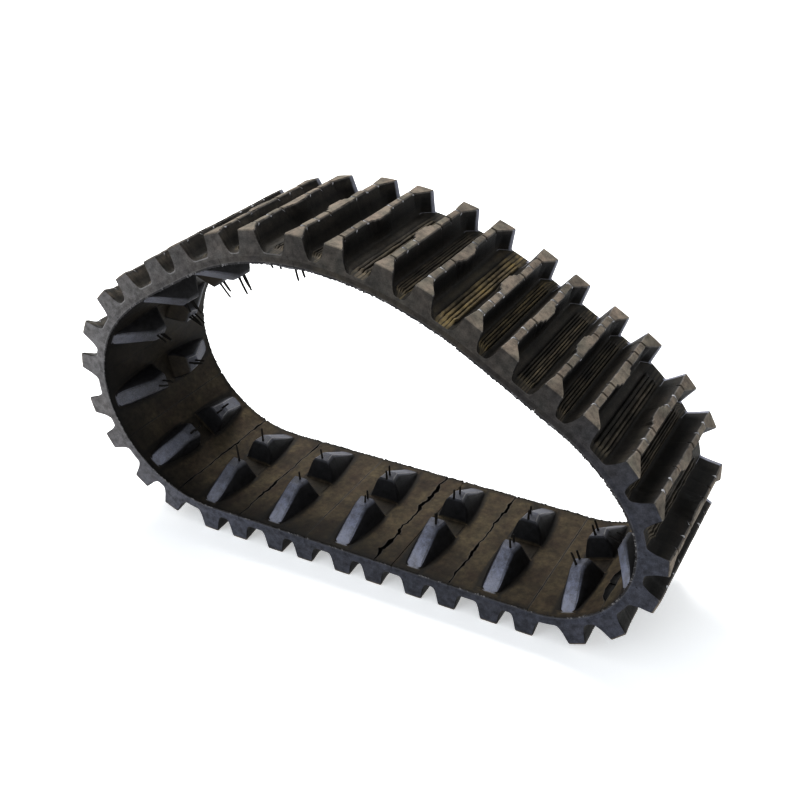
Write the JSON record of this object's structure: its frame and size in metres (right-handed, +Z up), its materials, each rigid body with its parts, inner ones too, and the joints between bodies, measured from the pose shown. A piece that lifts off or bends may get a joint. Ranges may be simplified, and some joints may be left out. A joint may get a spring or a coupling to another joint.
{
  "type": "rubber track",
  "caption": "Endless rubber track with dog-bone grousers outside and two rows of pyramid drive lugs inside, slumped into a low arch on its ground run.",
  "frame": {"origin": "on the ground under the middle of the loop, halfway across the belt", "axes": "+X along the ground run, +Y across the belt, +Z up"},
  "size_m": [0.4644, 0.116, 0.2614],
  "materials": {
    "tread_rubber": "moulded black rubber with a dusty satin bloom",
    "liner_rubber": "moulded black rubber, dusty brown on the flat running face",
    "tension_cord": "woven tension cord, bonded inside the belt"
  },
  "bodies": {
    "section_01": {"tread_section_01": "tread_rubber", "cord_ply_01": "tension_cord", "drive_lug_section_01": "liner_rubber"},
    "section_02": {"tread_section_02": "tread_rubber", "cord_ply_02": "tension_cord", "drive_lug_section_02": "liner_rubber"},
    "section_03": {"tread_section_03": "tread_rubber", "cord_ply_03": "tension_cord", "drive_lug_section_03": "liner_rubber"},
    "section_04": {"tread_section_04": "tread_rubber", "cord_ply_04": "tension_cord", "drive_lug_section_04": "liner_rubber"},
    "section_05": {"tread_section_05": "tread_rubber", "cord_ply_05": "tension_cord", "drive_lug_section_05": "liner_rubber"},
    "section_06": {"tread_section_06": "tread_rubber", "cord_ply_06": "tension_cord", "drive_lug_section_06": "liner_rubber"},
    "section_07": {"tread_section_07": "tread_rubber", "cord_ply_07": "tension_cord", "drive_lug_section_07": "liner_rubber"},
    "section_08": {"tread_section_08": "tread_rubber", "cord_ply_08": "tension_cord", "drive_lug_section_08": "liner_rubber"},
    "section_09": {"tread_section_09": "tread_rubber", "cord_ply_09": "tension_cord", "drive_lug_section_09": "liner_rubber"},
    "section_10": {"tread_section_10": "tread_rubber", "cord_ply_10": "tension_cord", "drive_lug_section_10": "liner_rubber"},
    "section_11": {"tread_section_11": "tread_rubber", "cord_ply_11": "tension_cord", "drive_lug_section_11": "liner_rubber"},
    "section_12": {"tread_section_12": "tread_rubber", "cord_ply_12": "tension_cord", "drive_lug_section_12": "liner_rubber"},
    "section_13": {"tread_section_13": "tread_rubber", "cord_ply_13": "tension_cord", "drive_lug_section_13": "liner_rubber"},
    "section_14": {"tread_section_14": "tread_rubber", "cord_ply_14": "tension_cord", "drive_lug_section_14": "liner_rubber"},
    "section_15": {"tread_section_15": "tread_rubber", "cord_ply_15": "tension_cord", "drive_lug_section_15": "liner_rubber"},
    "section_16": {"tread_section_16": "tread_rubber", "cord_ply_16": "tension_cord", "drive_lug_section_16": "liner_rubber"},
    "section_17": {"tread_section_17": "tread_rubber", "cord_ply_17": "tension_cord", "drive_lug_section_17": "liner_rubber"},
    "section_18": {"tread_section_18": "tread_rubber", "cord_ply_18": "tension_cord", "drive_lug_section_18": "liner_rubber"}
  },
  "joints": [
    {"name": "flex_04", "type": "hinge", "parent": "section_03", "child": "section_04", "pos_m": [-0.02628, 0, 0.01767], "axis": [0, 1, 0], "range_deg": [-0.71, 0.71], "stiffness_Nm_per_rad": 30},
    {"name": "flex_05", "type": "hinge", "parent": "section_04", "child": "section_05", "pos_m": [-0.08628, 0, 0.01767], "axis": [0, 1, 0], "range_deg": [-0.45, 0.45], "stiffness_Nm_per_rad": 30},
    {"name": "flex_06", "type": "hinge", "parent": "section_05", "child": "section_06", "pos_m": [-0.1461, 0, 0.02002], "axis": [0, 1, 0], "range_deg": [-6, 6], "stiffness_Nm_per_rad": 30},
    {"name": "flex_07", "type": "hinge", "parent": "section_06", "child": "section_07", "pos_m": [-0.19585, 0, 0.05152], "axis": [0, 1, 0], "range_deg": [-1.41, 1.41], "stiffness_Nm_per_rad": 30},
    {"name": "flex_08", "type": "hinge", "parent": "section_07", "child": "section_08", "pos_m": [-0.21526, 0, 0.10711], "axis": [0, 1, 0], "range_deg": [-6.35, 6.35], "stiffness_Nm_per_rad": 30},
    {"name": "flex_09", "type": "hinge", "parent": "section_08", "child": "section_09", "pos_m": [-0.19592, 0, 0.16273], "axis": [0, 1, 0], "range_deg": [-3.28, 3.28], "stiffness_Nm_per_rad": 30},
    {"name": "flex_10", "type": "hinge", "parent": "section_09", "child": "section_10", "pos_m": [-0.14964, 0, 0.20041], "axis": [0, 1, 0], "range_deg": [-0.32, 0.32], "stiffness_Nm_per_rad": 30},
    {"name": "flex_11", "type": "hinge", "parent": "section_10", "child": "section_11", "pos_m": [-0.09707, 0, 0.22926], "axis": [0, 1, 0], "range_deg": [-2.04, 2.04], "stiffness_Nm_per_rad": 30},
    {"name": "flex_12", "type": "hinge", "parent": "section_11", "child": "section_12", "pos_m": [-0.03903, 0, 0.24334], "axis": [0, 1, 0], "range_deg": [-2.61, 2.61], "stiffness_Nm_per_rad": 30},
    {"name": "flex_13", "type": "hinge", "parent": "section_12", "child": "section_13", "pos_m": [0.02063, 0, 0.23891], "axis": [0, 1, 0], "range_deg": [-2.2, 2.2], "stiffness_Nm_per_rad": 30},
    {"name": "flex_14", "type": "hinge", "parent": "section_13", "child": "section_14", "pos_m": [0.07733, 0, 0.21977], "axis": [0, 1, 0], "range_deg": [-1.12, 1.12], "stiffness_Nm_per_rad": 30},
    {"name": "flex_15", "type": "hinge", "parent": "section_14", "child": "section_15", "pos_m": [0.12927, 0, 0.18977], "axis": [0, 1, 0], "range_deg": [-0.05, 0.05], "stiffness_Nm_per_rad": 30},
    {"name": "flex_16", "type": "hinge", "parent": "section_15", "child": "section_16", "pos_m": [0.17901, 0, 0.15644], "axis": [0, 1, 0], "range_deg": [-1.62, 1.62], "stiffness_Nm_per_rad": 30},
    {"name": "flex_17", "type": "hinge", "parent": "section_16", "child": "section_17", "pos_m": [0.21217, 0, 0.10736], "axis": [0, 1, 0], "range_deg": [-4.39, 4.39], "stiffness_Nm_per_rad": 30},
    {"name": "flex_18", "type": "hinge", "parent": "section_17", "child": "section_18", "pos_m": [0.20275, 0, 0.04987], "axis": [0, 1, 0], "range_deg": [-3.02, 3.02], "stiffness_Nm_per_rad": 30},
    {"name": "flex_01", "type": "hinge", "parent": "section_18", "child": "section_01", "pos_m": [0.15368, 0, 0.01847], "axis": [0, 1, 0], "range_deg": [-4.34, 4.34], "stiffness_Nm_per_rad": 30},
    {"name": "flex_02", "type": "hinge", "parent": "section_01", "child": "section_02", "pos_m": [0.09372, 0, 0.01767], "axis": [0, 1, 0], "range_deg": [-0.29, 0.29], "stiffness_Nm_per_rad": 30}
  ],
  "couplings": [
    {"joint": "flex_04", "follows": "flex_06", "ratio": 0.1162},
    {"joint": "flex_05", "follows": "flex_06", "ratio": 0.0728},
    {"joint": "flex_07", "follows": "flex_06", "ratio": -0.2318},
    {"joint": "flex_08", "follows": "flex_06", "ratio": -1.0563},
    {"joint": "flex_09", "follows": "flex_06", "ratio": -0.5435},
    {"joint": "flex_10", "follows": "flex_06", "ratio": 0.0501},
    {"joint": "flex_11", "follows": "flex_06", "ratio": 0.3375},
    {"joint": "flex_12", "follows": "flex_06", "ratio": 0.4323},
    {"joint": "flex_13", "follows": "flex_06", "ratio": 0.3639},
    {"joint": "flex_14", "follows": "flex_06", "ratio": 0.1848},
    {"joint": "flex_15", "follows": "flex_06", "ratio": 0.0057},
    {"joint": "flex_16", "follows": "flex_06", "ratio": -0.2679},
    {"joint": "flex_17", "follows": "flex_06", "ratio": -0.7294},
    {"joint": "flex_18", "follows": "flex_06", "ratio": -0.5009},
    {"joint": "flex_01", "follows": "flex_06", "ratio": 0.7201},
    {"joint": "flex_02", "follows": "flex_06", "ratio": 0.0464}
  ]
}
